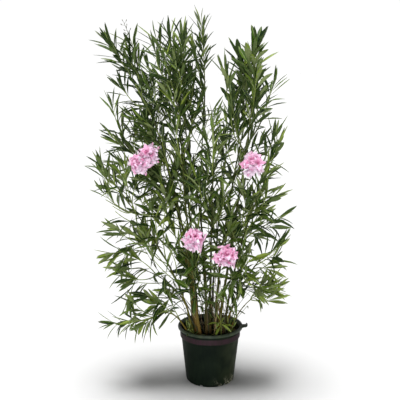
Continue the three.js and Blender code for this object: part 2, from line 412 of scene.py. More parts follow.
def add_rings(piece, rings, foot, top, tint):
    """A closed body round some rings and two end points. tint is one number or one per ring gap."""
    count, sides = rings.shape[:2]
    tint = np.broadcast_to(tint, (count - 1,))
    points = np.concatenate([rings.reshape(-1, 3), [foot], [top]])
    tints = [np.repeat(tint, sides), np.repeat(tint[[0, -1]], sides)]
    piece.add(points, tube_faces(count, sides), tints)


def add_tube(piece, points, radii, sides, tint):
    """A closed tube. radii is one number, one per point, or one per point and side."""
    direction = headings(points)
    first = np.empty_like(points)
    first[0] = across(direction[0])[0]
    for k in range(1, len(points)):
        first[k] = square_to(first[k - 1], direction[k])
    second = np.cross(direction, first)
    angle = circle(sides)[:, None]
    radii = np.asarray(radii, float)
    radii = radii if radii.ndim == 2 else radii.reshape(-1, 1)
    spokes = first[:, None] * np.cos(angle) + second[:, None] * np.sin(angle)
    rings = points[:, None] + spokes * radii[:, :, None]
    add_rings(piece, rings, points[0], points[-1], tint)


# ---- materials


class Nodes:
    """Shader nodes. A socket is fed a number, a tuple, or another node's output."""

    def __init__(self, tree):
        self.tree = tree

    def feed(self, node, values):
        for name, value in values.items():
            if isinstance(value, bpy.types.NodeSocket):
                self.tree.links.new(value, node.inputs[name])
            else:
                node.inputs[name].default_value = value

    def add(self, kind, output, values=None, **settings):
        """One output of a new node."""
        node = self.tree.nodes.new("ShaderNode" + kind)
        for name, value in settings.items():
            setattr(node, name, value)
        self.feed(node, values or {})
        return node.outputs[output]

    def coordinate(self, axis, space="Object"):
        return self.add("SeparateXYZ", axis, {"Vector": self.add("TexCoord", space)})

    def noise(self, scale, detail=3.0, stretch=(1, 1, 1)):
        """Noise from 0 to 1 on object coordinates, which may be squeezed along an axis."""
        place = self.add("TexCoord", "Object")
        place = self.add("Mapping", "Vector", {"Vector": place, "Scale": stretch})
        return self.add("TexNoise", "Fac", {"Vector": place, "Scale": scale, "Detail": detail})

    def between(self, source, start, end, low=0.0, high=1.0):
        """A value that goes from low to high as its source goes from start to end."""
        ends = {"From Min": start, "From Max": end, "To Min": low, "To Max": high}
        return self.add("MapRange", "Result", {"Value": source, **ends})

    def times(self, first, second):
        return self.add("Math", "Value", {0: first, 1: second}, operation="MULTIPLY")

    def ramp(self, source, stops):
        """A colour that runs through stops, each with its place from 0 to 1."""
        output = self.add("ValToRGB", "Color", {"Fac": source})
        elements = output.node.color_ramp.elements
        elements[0].position, elements[1].position = stops[0][0], stops[-1][0]
        for place, _ in stops[1:-1]:
            elements.new(place)
        for element, (_, colour) in zip(elements, stops):
            element.color = (*colour, 1)
        return output

    def overlay(self, below, colour, share):
        """A colour laid over another, by a share from 0 to 1."""
        colours = {"A": below, "B": (*colour, 1), "Factor": share}
        return self.add("Mix", "Result", colours, data_type="RGBA")


class Surface(Nodes):
    """A material, built up round its one shader."""

    def __init__(self, name, colour, roughness, specular=0.5):
        self.material = bpy.data.materials.new(name)
        self.material.use_nodes = True
        super().__init__(self.material.node_tree)
        self.shader = self.tree.nodes["Principled BSDF"]
        self.set("Base Color", (*colour, 1))
        self.set("Roughness", roughness)
        self.set("Specular IOR Level", specular)

    def set(self, socket, value):
        self.feed(self.shader, {socket: value})

    def roughen(self, source, low, high):
        """Roughness from low to high over the middle of a noise's range."""
        self.set("Roughness", self.between(source, 0.3, 0.7, low, high))

    def emboss(self, source, depth, strength):
        values = {"Height": source, "Distance": depth, "Strength": strength}
        self.set("Normal", self.add("Bump", "Normal", values))


def living(name, colour, rough, grain, specular=0.5):
    """A plain-coloured leaf, petal or twig, with fine grain in its gloss and relief."""
    surface = Surface(name, colour, sum(rough) / 2, specular)
    noise = surface.noise(grain)
    surface.roughen(noise, *rough)
    surface.emboss(noise, 0.0002, 0.5)
    return surface.material


def living_set(name, colours, *look):
    """A material for each colour of a list."""
    return [living(f"{name}_{k}", colour, *look) for k, colour in enumerate(colours)]


# Linear colours. The first tints of each list are the oldest and darkest.
LEAF_UPPER = [
    (0.007, 0.022, 0.004),
    (0.016, 0.043, 0.005),
    (0.032, 0.072, 0.006),
    (0.058, 0.106, 0.011),
    (0.095, 0.152, 0.016),
    (0.150, 0.212, 0.026),
    (0.220, 0.290, 0.045),
]
LEAF_UNDER = [(0.042, 0.068, 0.020), (0.095, 0.135, 0.045), (0.180, 0.225, 0.090)]
LEAF_RIB = (0.19, 0.23, 0.06)
LEAF_DRY = [(0.085, 0.045, 0.013), (0.22, 0.115, 0.030)]
# The numbers of those materials in a leafy piece: the upper sides come first.
SHADED_LEAF, GREEN_LITTER = 3, 4
UNDER_START = len(LEAF_UPPER)
RIB = UNDER_START + len(LEAF_UNDER)
DRY_START = RIB + 1
TWIG_TINTS = [
    (0.040, 0.046, 0.012),
    (0.075, 0.092, 0.018),
    (0.125, 0.165, 0.028),
    (0.200, 0.260, 0.045),
    (0.110, 0.065, 0.025),
    (0.300, 0.230, 0.110),
    (0.095, 0.100, 0.055),
    (0.022, 0.026, 0.008),
]
# SHADED is a near-black tint for the thin stems among the canes' feet: painted shade.
BROWN, STRAW, DRIED, SHADED = 4, 5, 6, 7
# From pale at the rim of a petal to deep pink in the throat.
PETAL_TINTS = [
    (0.77, 0.62, 0.74),
    (0.79, 0.52, 0.68),
    (0.79, 0.42, 0.61),
    (0.69, 0.26, 0.45),
    (0.46, 0.085, 0.21),
]
DEEP = len(PETAL_TINTS) - 1
CALYX = len(PETAL_TINTS)
CALYX_COLOUR = (0.16, 0.17, 0.05)


def leaf_materials(prefix=""):
    upper = living_set(prefix + "leaf_upper", LEAF_UPPER, (0.30, 0.46), 700, 0.15)
    under = living_set(prefix + "leaf_under", LEAF_UNDER, (0.60, 0.80), 700, 0.04)
    rib = living(prefix + "leaf_rib", LEAF_RIB, (0.40, 0.60), 700)
    dry = living_set(prefix + "leaf_dry", LEAF_DRY, (0.70, 0.90), 500)
    return [*upper, *under, rib, *dry]


# ---- leaves

# Each ring of a blade: how far along it lies, and the share of the full half-width there.
BLADE_RINGS = [(0.06, 0.11), (0.25, 0.52), (0.50, 1.0), (0.74, 0.82), (0.91, 0.38)]
BLADE_SIDES = 5  # left edge, left of the rib, right of the rib, right edge, keel
RIB_HALF = 0.0008
KEEL_DEPTH = 0.0011
LEAST_ARCH = 1e-3

# Gaps right through the crown, as ellipses in the plane y = 0. In millimetres: the middle's x and
# z, the half-width and the half-height.
CLEARINGS = np.array([
    (16, 1350, 32, 60), (-350, 1330, 34, 20), (-405, 795, 52, 22), (-225, 590, 34, 62),
    (211, 1154, 18, 24), (252, 567, 18, 24), (165, 372, 50, 32), (-327, 360, 28, 22),
    (-470, 835, 50, 34), (-562, 940, 22, 30), (-560, 1120, 40, 30), (385, 1160, 40, 50),
    (-452, 1215, 40, 30), (-278, 1640, 20, 40), (300, 1275, 30, 12), (290, 1215, 34, 10),
    (375, 625, 45, 40), (300, 330, 40, 40), (-150, 260, 34, 55), (156, 262, 26, 50),
    (310, 1590, 45, 50), (-319, 586, 20, 32), (-210, 394, 24, 24), (202, 1158, 16, 28),
    (-194, 705, 20, 28), (-316, 476, 46, 22), (-117, 384, 16, 32), (-29, 719, 20, 24),
    (-139, 766, 16, 20), (96, 1055, 24, 20), (185, 408, 26, 14), (-257, 1487, 26, 14),
    (-74, 1109, 18, 34), (-214, 992, 20, 16), (-12, 1176, 16, 30), (282, 932, 18, 10),
    (-190, 228, 40, 66), (143, 1640, 32, 62), (-117, 384, 22, 22), (6, 1430, 28, 42),
    (355, 1075, 40, 36), (336, 830, 30, 30), (-134, 768, 18, 20), (-138, 923, 18, 22),
    (15, 1080, 22, 12), (205, 615, 22, 14),
]) / 1000
# Leaves stay within a finger's breadth of the CAD model's box.
LOWEST_CORNER, HIGHEST_CORNER = np.array(cad_bounds)
ROOM_CENTRE = (LOWEST_CORNER + HIGHEST_CORNER) / 2
ROOM_HALF = (HIGHEST_CORNER - LOWEST_CORNER) / 2 + 0.015
BARE_HEIGHT, BARE_RADIUS = 0.45, 0.175  # the crown's own leaves leave the canes' feet bare
SHADED_HEIGHT, SHADED_RADIUS = 0.75, 0.26  # and those low down among the canes are capped at a dark tint: painted shade


def in_clearing(place):
    """True if the line of sight through a place crosses the plane y = 0 in a clearing."""
    x, _, z = EYE - EYE[1] / (place[1] - EYE[1]) * (place - EYE)
    middle_x, middle_z, half_wide, half_high = CLEARINGS.T
    return np.any(((x - middle_x) / half_wide) ** 2 + ((z - middle_z) / half_high) ** 2 < 1)


class Blades:
    """A batch of leaves, one row of numbers each, turned into closed blades at once."""

    def __init__(self, in_crown=True):
        self.rows = []
        self.in_crown = in_crown

    def add(self, base, along, face, shape, tint, under):
        """Adds a leaf, unless it is in a clearing, outside the plant's room or at its bare foot.

        shape is its length, width, arch, fold, sweep and twist.
        """
        run = along * shape[0]
        tip = base + run
        inward = hypot(tip[0], tip[1])
        if self.in_crown and tip[2] < BARE_HEIGHT and inward < BARE_RADIUS:
            return
        # Leaves low among the canes are capped at a dark tint: painted shade.
        if self.in_crown and tip[2] < SHADED_HEIGHT and inward < SHADED_RADIUS:
            tint = min(tint, SHADED_LEAF)
        hidden = any(in_clearing(base + run * share) for share in (0.3, 0.65, 1.0))
        if not hidden and all(np.abs(tip - ROOM_CENTRE) < ROOM_HALF):
            self.rows.append((*base, *along, *face, *shape, tint, under))

    def points(self, rows):
        """Every blade's points, ring by ring and then its two ends, shaped (leaves, points, 3)."""
        base, along, face = rows[:, 0:3], rows[:, 3:6], rows[:, 6:9]
        length, width, arch, fold, sweep, twist = (rows[:, k, None] for k in range(9, 15))
        side = np.cross(along, face)
        turn = np.where(np.abs(arch) < LEAST_ARCH, LEAST_ARCH, arch)
        columns, ends = [], []
        for s, breadth in [(0.0, 0), *BLADE_RINGS, (1.0, 0)]:
            ahead = length / turn * np.sin(turn * s) * along
            drop = length / turn * (1 - np.cos(turn * s)) * face
            centre = base + ahead - drop + sweep * length * s**2 * side
            if not breadth:
                ends.append(centre)
                continue
            up = np.cos(arch * s) * face + np.sin(arch * s) * along
            flat = np.cos(twist * s) * side + np.sin(twist * s) * up
            up = np.cos(twist * s) * up - np.sin(twist * s) * side
            half = 0.5 * width * breadth
            out, rise = half * np.cos(fold) * flat, half * np.sin(fold) * up
            rib = np.minimum(RIB_HALF, 0.4 * half) * flat
            keel = KEEL_DEPTH * (1.1 - s) * up
            columns += [centre - out + rise, centre - rib, centre + rib, centre + out + rise]
            columns.append(centre - keel)
        return np.stack(columns + ends, axis=1)

    def build(self, name, materials, replaced=()):
        """Makes all the blades one piece. Each half, the rib and the back have their own tints; the
        second half is one tint darker than the first, painted shade.
        """
        rows = np.array(self.rows)
        points = self.points(rows)
        tint, under = rows[:, 15].astype(int), rows[:, 16].astype(int)
        # The second half takes a tint one darker than the first: painted shade, as if that half
        # were turned from the light.
        strips = [tint, np.full(len(tint), RIB), np.maximum(tint - 1, 0), under, under]
        strips = np.stack(strips, axis=1)
        starts = np.arange(len(points))[:, None, None] * points.shape[1]
        quads, caps = tube_faces(len(BLADE_RINGS), BLADE_SIDES)
        piece = Piece(name, "leaves", materials)
        piece.add(
            points.reshape(-1, 3),
            [(quads + starts).reshape(-1, 4), (caps + starts).reshape(-1, 3)],
            [np.tile(strips, (1, times)).reshape(-1) for times in (len(BLADE_RINGS) - 1, 2)],
        )
        piece.build(replaced)


# ---- shoots

TIP_GAPS = [0.0, 0.017, 0.040]  # whorls this far below a shoot's tip
WHORL_GAP = 0.033
LEAVES_A_WHORL = 3
LEAVES_LOST = 0.14  # the share of leaves missing below the tip
YOUNG = 0.045  # leaves age over this length below the tip
YOUNG_LEAN, LEAN_GAIN, LEAN_SCATTER = 19, 33, 8  # degrees away from the shoot
MOST_LEAN = 1.45
ROLL_SCATTER = 0.22
LENGTH_SCATTER, WIDTH_SCATTER = (0.80, 1.12), (0.86, 1.12)
CREST_DEPTH = 0.10  # a crest's broad leaves are within this length below the tip
STEM_HALF = 0.0012
SHOOT_RADII = (0.0027, 0.0014)  # at the foot and the tip of a side shoot's stem
FILLING_RADII = (0.0028, 0.0014)
LEADER_RADII = (0.0040, 0.0015)


class Habit:
    """How the leaves of one shoot stand and look: their length, width, spread, droop and tint."""

    bare = 0.12  # the share of a shoot without leaves, at its foot
    gap = WHORL_GAP
    crest = 0.0  # how much broader the leaves at the very tip are
    bald = 0.0  # the length of a leader without leaves, at its tip
    stem = 2  # the tint of a side shoot's stem

    def __init__(self, **own):
        vars(self).update(own)


def habit_at(height, rng):
    """Leaves are darker and more erect near the top, lighter and more arching low down."""
    low = np.clip((1.15 - height) / 0.7, 0, 1)
    return Habit(
        length=0.114 + 0.008 * low,
        width=0.0176 + 0.0076 * low,
        spread=1.0 + 0.15 * low,
        droop=0.10 + 0.55 * low,
        tint=1.5 + 3.0 * low + rng.normal(0, 0.5),
        gap=WHORL_GAP * (0.86 + 0.75 * low),
    )


def whorl_distances(length, habit, bald):
    """How far below a shoot's tip its whorls are: close there, then even, until its bare foot."""
    leafy = length * (1 - habit.bare)
    found = [bald + gap for gap in TIP_GAPS if bald + gap < leafy]
    while found[-1] + habit.gap < leafy:
        found.append(found[-1] + habit.gap)
    return found


def add_leaf(blades, base, direction, outward, below, habit, rng, tint):
    """One leaf `below` metres under a shoot's tip. Young leaves are short, narrow and erect."""
    age = 1 - exp(-below / YOUNG)
    lean = radians(YOUNG_LEAN + LEAN_GAIN * age + rng.normal(0, LEAN_SCATTER))
    lean = min(lean * habit.spread, MOST_LEAN)
    along = cos(lean) * direction + sin(lean) * outward
    along = unit(along - 0.5 * habit.droop * age * UP)
    face = sin(lean) * direction - cos(lean) * outward
    skyward = UP - along * (UP @ along)
    face = unit(face + 0.45 * age * skyward * (1 - abs(UP @ direction) * 0.5))
    face = square_to(face, along)
    roll = rng.normal(0, ROLL_SCATTER)
    face = cos(roll) * face + sin(roll) * np.cross(along, face)
    length = habit.length * (0.90 + 0.10 * min(age * 1.8, 1)) * rng.uniform(*LENGTH_SCATTER)
    width = habit.width * (0.60 + 0.40 * min(age * 1.6, 1)) * rng.uniform(*WIDTH_SCATTER)
    width = width * (1 + habit.crest * exp(-((below / CREST_DEPTH) ** 2)))
    arch = rng.uniform(-0.06, 0.18) + habit.droop * (0.4 + age) * max(face[2], -0.2)
    shade = tint - 1.6 * age + 1.1 + rng.normal(0, 1.75) + 1.2 * habit.crest * (1 - age)
    upper = int(np.clip(round(shade), 0, len(LEAF_UPPER) - 1))
    under = UNDER_START + int(np.clip(round(shade / 2 - 0.5), 0, len(LEAF_UNDER) - 1))
    fold, sweep, twist = rng.uniform(0.15, 0.55), rng.normal(0, 0.07), rng.normal(0, 0.25)
    blades.add(base, along, face, (length, width, arch, fold, sweep, twist), upper, under)


def leaf_shoot(blades, line, habit, rng, bald=0.0):
    """Deals whorls of leaves down a shoot, each turned half a gap from the one above."""
    turn = rng.uniform(0, 2 * pi)
    tint = habit.tint + rng.normal(0, 0.5)
    for number, below in enumerate(whorl_distances(line.length, habit, bald)):
        centre = line.at(line.length - below)
        direction = line.direction(line.length - below)
        sides = across(direction)
        for leaf in range(LEAVES_A_WHORL):
            if below > 0.03 and rng.random() < LEAVES_LOST:
                continue
            angle = turn + number * pi / 3 + leaf * 2 * pi / 3 + rng.normal(0, 0.16)
            outward = spoke(sides, angle)
            base = centre + outward * STEM_HALF
            add_leaf(blades, base, direction, outward, below, habit, rng, tint)


def side_shoot(carrier, tip_distance, offset, back):
    """A shoot that leaves its carrier at an acute angle and turns to run beside it."""
    start_distance = max(tip_distance - back, 0.0)
    start = carrier.at(start_distance)
    end = carrier.at(tip_distance) + offset
    leave = unit(spoke((carrier.direction(start_distance), unit(offset)), 0.75))
    control = start + leave * norm(end - start) * 0.55
    return Line(bezier(start, control, end))


def add_twig(piece, line, radii, rng, tint):
    """A shoot's stem: tapered, and slightly thicker at every other point along it."""
    share = line.along / line.length
    radii = radii[0] + (radii[1] - radii[0]) * share
    radii = radii * np.where(np.arange(len(share)) % 2, 1.10, 0.96)
    tints = np.clip(np.round(tint + 1.2 * share[:-1] + rng.normal(0, 0.2)), 0, 3).astype(int)
    add_tube(piece, line.points, radii, 6, tints)


def grow_shoot(blades, twigs, line, habit, rng, radii=SHOOT_RADII):
    """The leaves and the stem of one side shoot."""
    leaf_shoot(blades, line, habit, rng)
    add_twig(twigs, line, radii, rng, habit.stem)


PANICLE_LENGTH = 0.045
PANICLE_BEND = (-0.014, 0, 0.026)
PANICLE_RADII = (0.0014, 0.0009)
PANICLE_STALKS = 9
PANICLE_STALK = 0.0007
POD_STEPS, POD_RADII = [0, 0.003, 0.007, 0.010], [0.0007, 0.0019, 0.0017, 0.0004]


def grow_panicle(leader, twigs, rng):
    """The dry remains of a flower head on a shoot's tip: short forked stalks with a pod on each."""
    tip, heading = leader.points[-1], leader.direction(leader.length)
    top = tip + heading * PANICLE_LENGTH + PANICLE_BEND
    spine = Line(bezier(leader.at(leader.length - 0.004), tip + heading * 0.012, top, 0.006))
    add_tube(twigs, spine.points, np.linspace(*PANICLE_RADII, len(spine.points)), 5, DRIED)
    for k in range(PANICLE_STALKS):
        place = spine.at(spine.length * (0.15 + 0.85 * k / (PANICLE_STALKS - 1)))
        way = spoke(across(heading), k * GOLDEN_ANGLE)
        end = place + 0.7 * heading * rng.uniform(0.008, 0.016) + way * rng.uniform(0.007, 0.015)
        stalk = bezier(place, place + heading * 0.004, end, 0.004)
        add_tube(twigs, stalk, PANICLE_STALK, 5, DRIED)
        pod = end + np.outer(POD_STEPS, unit(end - place + 0.01 * heading))
        add_tube(twigs, pod, POD_RADII, 6, DRIED)


# The share of the usual number of side shoots, in the masses that are thinner than the rest.
THINNED = {
    0.0: "right_rear_arm tallest",
    0.2: "front_left mid_shoulder rear_left",
    0.25: "left_wing right_back",
    0.3: "left_drooping",
    0.4: "front_right left_shoulder rear_low rear_skirt right_inner",
    0.5: "left_bud left_high left_skirt left_thicket mid_rear right_arm right_high right_rear "
    "right_wing",
    0.6: "front front_tall mid_left rear right_wide",
    0.7: "left_arm left_knee left_low left_low_upper",
    0.9: "mid",
}
SHOOT_SHARES = {name: share for share, names in THINNED.items() for name in names.split()}
# Where the photo shows leaves unlike those around them.
OWN_HABITS = {
    "tallest": dict(length=0.092, width=0.0135, spread=0.80, gap=0.020, droop=0.0, tint=0.9),
    "left_bud": dict(bald=0.035),
    "left_wing": dict(bald=0.040),
    "right_high": dict(width=0.0175, spread=0.90, tint=2.0, crest=1.0),
    "right_rear": dict(width=0.0175, spread=0.90, tint=1.8, crest=1.0),
    "left_drooping": dict(
        length=0.098, width=0.019, spread=1.25, tint=3.4, droop=0.9, gap=0.029, bare=0.15
    ),
    "left_skirt": dict(tint=2.2, bare=0.35, droop=0.2, length=0.100),
    "front_left": dict(tint=1.3, width=0.0190, length=0.105, stem=0),
    "front_right": dict(tint=1.3, width=0.0200, length=0.105, stem=0),
    "front": dict(tint=1.8, stem=1),
    "rear_skirt": dict(tint=1.6, stem=1),
    "right_skirt": dict(tint=1.6, stem=1),
}
PANICLE_MASS = "left_bud"
SHOOT_ROOM = 0.0048  # square metres of a mass's length by half-width that each side shoot fills
FEWEST_SHOOTS, MOST_SHOOTS = 3, 9
# Side shoots end over this span of a mass's length, at these shares of its half-width, and leave
# their carrier this far below their tip besides 1.25 times their offset.
FIRST_TIP, TIP_SPAN = 0.30, 0.66
TIP_SHARES = (0.55, 0.95)
LEAST_BACK = (0.06, 0.12)


def grow_mass(mass, blades, twigs):
    """Fills a mass with a leader, where it has one, and with side shoots all round."""
    rng = seeded(mass.name)
    habit = habit_at(mass.height, rng)
    vars(habit).update(OWN_HABITS.get(mass.name, {}))
    if mass.kind != "sleeve":
        foot = max(mass.start - 0.01, 0) if mass.kind == "end" else 0
        leader = Line(mass.carrier.points[mass.carrier.along >= foot])
        leaf_shoot(blades, leader, habit, rng, habit.bald)
        add_twig(twigs, leader, LEADER_RADII, rng, habit.stem - 1)
        if mass.name == PANICLE_MASS:
            grow_panicle(leader, twigs, rng)
    extent = mass.end - mass.start
    usual = np.clip(extent * mass.wides.max() / SHOOT_ROOM, FEWEST_SHOOTS, MOST_SHOOTS)
    count = round(usual * SHOOT_SHARES.get(mass.name, 1.0))
    turn = rng.uniform(0, 2 * pi)
    for k in range(count):
        share = (k + rng.uniform(0.25, 0.75)) / count
        tip_distance = mass.start + extent * (FIRST_TIP + TIP_SPAN * share)
        offset = mass.offset(tip_distance, turn + k * GOLDEN_ANGLE, rng.uniform(*TIP_SHARES))
        back = 1.25 * norm(offset) + rng.uniform(*LEAST_BACK)
        line = side_shoot(mass.carrier, tip_distance, offset, back)
        grow_shoot(blades, twigs, line, habit, rng)


SPUR_GAP = 0.21
SPUR_GAPS = dict(
    left_wide=0.10, left_high=0.13, left_bud=0.14, right_wide=0.12, right_mid=0.14, left_low=0.12
)
LOWEST_SPUR = 0.42
SPUR_OUT, SPUR_RISE = (0.055, 0.095), (0.03, 0.07)  # how far a spur reaches out and up


def grow_spurs(name, limb, blades, twigs):
    """Short side shoots all along a limb, between its bare foot and its tip."""
    rng = seeded("spurs of " + name)
    turn = rng.uniform(0, 2 * pi)
    number = 0
    gap = SPUR_GAPS.get(name, SPUR_GAP)
    distance = rng.uniform(0.5, 1.0) * gap
    while distance < limb.length - 0.02:
        place = limb.at(distance)
        if place[2] > LOWEST_SPUR:
            out = rng.uniform(*SPUR_OUT)
            axes = view_axes(limb.direction(distance))
            offset = out * spoke(axes, turn + number * GOLDEN_ANGLE)
            rise = out * 1.1 + rng.uniform(*SPUR_RISE)
            line = side_shoot(limb, min(distance + rise, limb.length), offset, rise)
            grow_shoot(blades, twigs, line, habit_at(place[2], rng), rng)
        number += 1
        distance += gap * rng.uniform(0.8, 1.25)


# Shoots that fill the thin places of the crown: their limb, the share of the way up it, and the
# way to their tip in millimetres.
FILLING_SHOOTS = [
    ("left_arm", 0.75, (-100, -40, 75)),
    ("left_arm", 0.45, (-60, 50, 120)),
    ("left_wide", 0.92, (-35, -50, 190)),
    ("left_wide", 0.80, (10, 60, 220)),
    ("left_wide", 0.55, (10, -60, 280)),
    ("left_wide", 0.40, (-150, 50, 170)),
    ("left_high", 0.62, (-120, -50, 150)),
    ("left_bud", 0.92, (10, -20, 210)),
    ("left_bud", 0.60, (-90, 60, 130)),
    ("left_low_upper", 0.70, (-150, -40, 10)),
    ("left_low_upper", 0.95, (-80, -50, -65)),
    ("left_low", 0.40, (-60, -70, -40)),
    ("right_mid", 0.90, (-10, 30, 160)),
    ("right_mid", 0.98, (100, -40, 110)),
    ("right_mid", 0.55, (30, -60, 100)),
    ("right_wide", 0.45, (10, -70, 90)),
    ("right_low", 0.30, (-40, -60, 100)),
    ("left_arm", 0.90, (15, -30, 140)),
    ("left_high", 0.97, (-105, -10, 100)),
    ("left_low", 0.98, (-70, -30, -110)),
    ("left_low", 0.22, (-85, -60, -20)),
    ("left_wide", 0.95, (20, 20, 110)),
    ("left_drooping", 0.55, (-55, -20, 60)),
    ("left_drooping", 0.98, (-85, -10, 50)),
    ("left_arm", 0.97, (50, -20, 150)),
    ("tallest", 1.00, (-45, -10, 290)),
    ("tallest", 0.97, (-60, 20, 190)),
    ("tallest", 0.90, (35, -30, 110)),
    ("mid", 1.00, (50, -20, 180)),
    ("right_mid", 0.60, (15, -80, -30)),
    ("right_mid", 0.48, (-15, -80, 10)),
    ("right_wide", 0.80, (60, -50, 20)),
    ("right_wide", 0.62, (50, -60, -10)),
    ("left_drooping", 0.35, (-45, 10, 85)),
    ("left_drooping", 0.97, (-30, -20, -20)),
]


def grow_filling(limbs, blades, twigs):
    """The filling shoots: each leaves its limb at an acute angle and bends towards its tip."""
    for number, (name, share, step) in enumerate(FILLING_SHOOTS):
        rng = seeded(f"filling {number}")
        distance = limbs[name].length * share
        start = limbs[name].at(distance)
        step = np.array(step) / 1000
        leave = unit(unit(step) + 0.8 * limbs[name].direction(distance))
        control = start + 0.5 * norm(step) * leave
        line = Line(bezier(start, control, start + step))
        grow_shoot(blades, twigs, line, habit_at(start[2], rng), rng, FILLING_RADII)


# ---- bark on the canes and boughs

BARK_SIDES = 20
BARK_STEP = 0.007
NODE_GAP = 0.034
NODE_HALF = 0.0035
RIDGE_SHARE = 0.035  # of the limb's radius
JOINT_RISE, SCAR_RISE = 0.0005, 0.0012
BARK_GIRTH = 0.76  # of the CAD limb's radius, which leaves room for the limb to waver
# The bark's colours upward from the foot, each with its place on the ramp.
BARKS = {
    "olive": [
        (0.47, (0.150, 0.080, 0.014)),
        (0.55, (0.104, 0.088, 0.012)),
        (0.70, (0.062, 0.070, 0.009)),
        (1.0, (0.032, 0.044, 0.006)),
    ],
    "russet": [
        (0.47, (0.190, 0.086, 0.020)),
        (0.62, (0.130, 0.084, 0.018)),
        (0.84, (0.068, 0.066, 0.010)),
        (1.0, (0.034, 0.045, 0.007)),
    ],
    "dark": [
        (0.47, (0.060, 0.036, 0.010)),
        (0.55, (0.036, 0.030, 0.008)),
        (0.70, (0.028, 0.030, 0.006)),
        (1.0, (0.026, 0.036, 0.006)),
    ],
}
RUSSET_CANES = ("left_high", "left_bud", "mid_left")
DARK_CANES = ("mid", "tallest", "front_tall", "rear", "mid_rear", "right_mid")
BARK_MEAN = (0.09, 0.08, 0.03)
LENTICEL_COLOUR = (0.20, 0.18, 0.07)


def bark_relief(angles, along, radii, rng):
    """Radii with fine ridges, a raised joint at each node and three leaf scars on it."""
    relief = np.zeros((len(along), len(angles)))
    for lobes in (2, 3, 5, 7, 9):
        wave = rng.uniform(8, 40) * (lobes / 4)
        swing = rng.uniform(0, 2 * pi, 2)
        drift = np.sin(along * wave + swing[0])[:, None]
        relief += RIDGE_SHARE / sqrt(lobes) * np.sin(lobes * angles[None] + 2 * drift + swing[1])
    number, phase = np.divmod(along / NODE_GAP, 1)
    joint = np.exp(-(((phase - 0.5) * NODE_GAP / NODE_HALF) ** 2))
    scar = np.clip(np.cos(3 * angles[None] + number[:, None] * pi), 0, 1) ** 2
    return radii[:, None] * (1 + relief) + joint[:, None] * (JOINT_RISE + SCAR_RISE * scar)


def bark_material(name, stops):
    """Green-brown bark that is browner at the foot, with pale lenticels."""
    surface = Surface(name, BARK_MEAN, 0.6, 0.10)
    blotch = surface.noise(22, 4, (1, 1, 0.22))
    place = {0: blotch, 1: 0.55, 2: surface.coordinate("Z")}
    place = surface.add("Math", "Value", place, operation="MULTIPLY_ADD")
    specks = surface.between(surface.noise(420, 2, (1, 1, 1.6)), 0.62, 0.70)
    colour = surface.overlay(surface.ramp(place, stops), LENTICEL_COLOUR, specks)
    surface.set("Base Color", colour)
    ridges = surface.noise(260, 4, (1, 1, 0.3))
    surface.roughen(ridges, 0.45, 0.75)
    surface.emboss(ridges, 0.0008, 0.7)
    return surface.material


def bark_limb(limb, material):
    """One limb's barked mesh, thinner than the CAD limb so that it can waver about its middle."""
    rng = seeded(limb.node)
    along = np.arange(0, limb.length, BARK_STEP)
    points = limb.at(along)
    radius = np.interp(along, limb.along, limb.radii)
    for axis in range(2):
        waver = np.sin(along * rng.uniform(14, 24) + rng.uniform(0, 6))
        waver = waver + np.sin(along * rng.uniform(35, 60))
        points[:, axis] += 0.5 * (1 - BARK_GIRTH) * radius * waver
    radii = bark_relief(circle(BARK_SIDES), along, BARK_GIRTH * radius, rng)
    piece = Piece("bark_" + limb.node, "bark", [material])
    add_tube(piece, points, radii, BARK_SIDES, 0)
    piece.build([limb.node], sharp=60)


def build_bark(limbs):
    barks = {kind: bark_material("bark_" + kind, stops) for kind, stops in BARKS.items()}
    for name, limb in limbs.items():
        kind = "russet" if name in RUSSET_CANES else "dark" if name in DARK_CANES else "olive"
        bark_limb(limb, barks[kind])


# ---- flower heads

# Each head: the limb it grows on, the share of the way up it, the step from there to its middle,
# and its tilt up.
HEADS = [
    ("left_high", 0.88, (-0.070, -0.108, 0.042), 0.30),
    ("left_high", 0.84, (-0.116, -0.130, 0.042), 0.20),
    ("right_arm", 0.80, (-0.016, -0.112, 0.062), 0.30),
    ("mid_left", 0.46, (0.020, -0.108, 0.050), 0.25),
    ("front_tall", 0.44, (0.064, -0.125, 0.052), 0.25),
]
HEAD_RADIUS = 0.036
HEAD_STEM_RADII = (0.0028, 0.0020)
FLOWERS_A_HEAD = 10
BUDS_A_HEAD = 5
FLOWER_RADIUS = 0.032
PETAL_ROWS, PETAL_COLUMNS = 6, 5
# Rings of petals in one flower: how many, their length as a share of the radius, and how far open.
PETAL_RINGS = [(6, 1.16, 1.36), (6, 0.92, 1.00), (5, 0.66, 0.62), (3, 0.45, 0.30)]
PETAL_THICK = 0.0004
STALK_STEP = 0.006
HEAD_STEM_LIFT = 0.035
FLOWER_STALK, BUD_STALK = 0.0013, 0.0011
BUD_LENGTHS = (0.014, 0.020)
CALYX_STEPS, CALYX_RADII = [-0.011, -0.008, -0.002, 0.003], [0.0012, 0.0026, 0.0034, 0.0026]


def petal_faces():
    """A petal's faces: an upper sheet, a lower sheet and the rim between, and the row of each."""
    index = np.arange(PETAL_ROWS * PETAL_COLUMNS).reshape(PETAL_ROWS, PETAL_COLUMNS)
    corners = [index[:-1, :-1], index[:-1, 1:], index[1:, 1:], index[1:, :-1]]
    upper = np.stack(corners, axis=-1).reshape(-1, 4)
    under = upper[:, ::-1] + index.size
    edge = np.concatenate([index[0], index[1:, -1], index[-1, -2::-1], index[-2:0:-1, 0]])
    after = np.roll(edge, -1)
    rim = np.stack([after, edge, edge + index.size, after + index.size], axis=1)
    rows = np.repeat(np.arange(PETAL_ROWS - 1), PETAL_COLUMNS - 1)
    rim_rows = np.minimum(edge // PETAL_COLUMNS, PETAL_ROWS - 2)
    return np.concatenate([upper, under, rim]), np.concatenate([rows, rows, rim_rows])


PETAL_FACES, PETAL_FACE_ROWS = petal_faces()


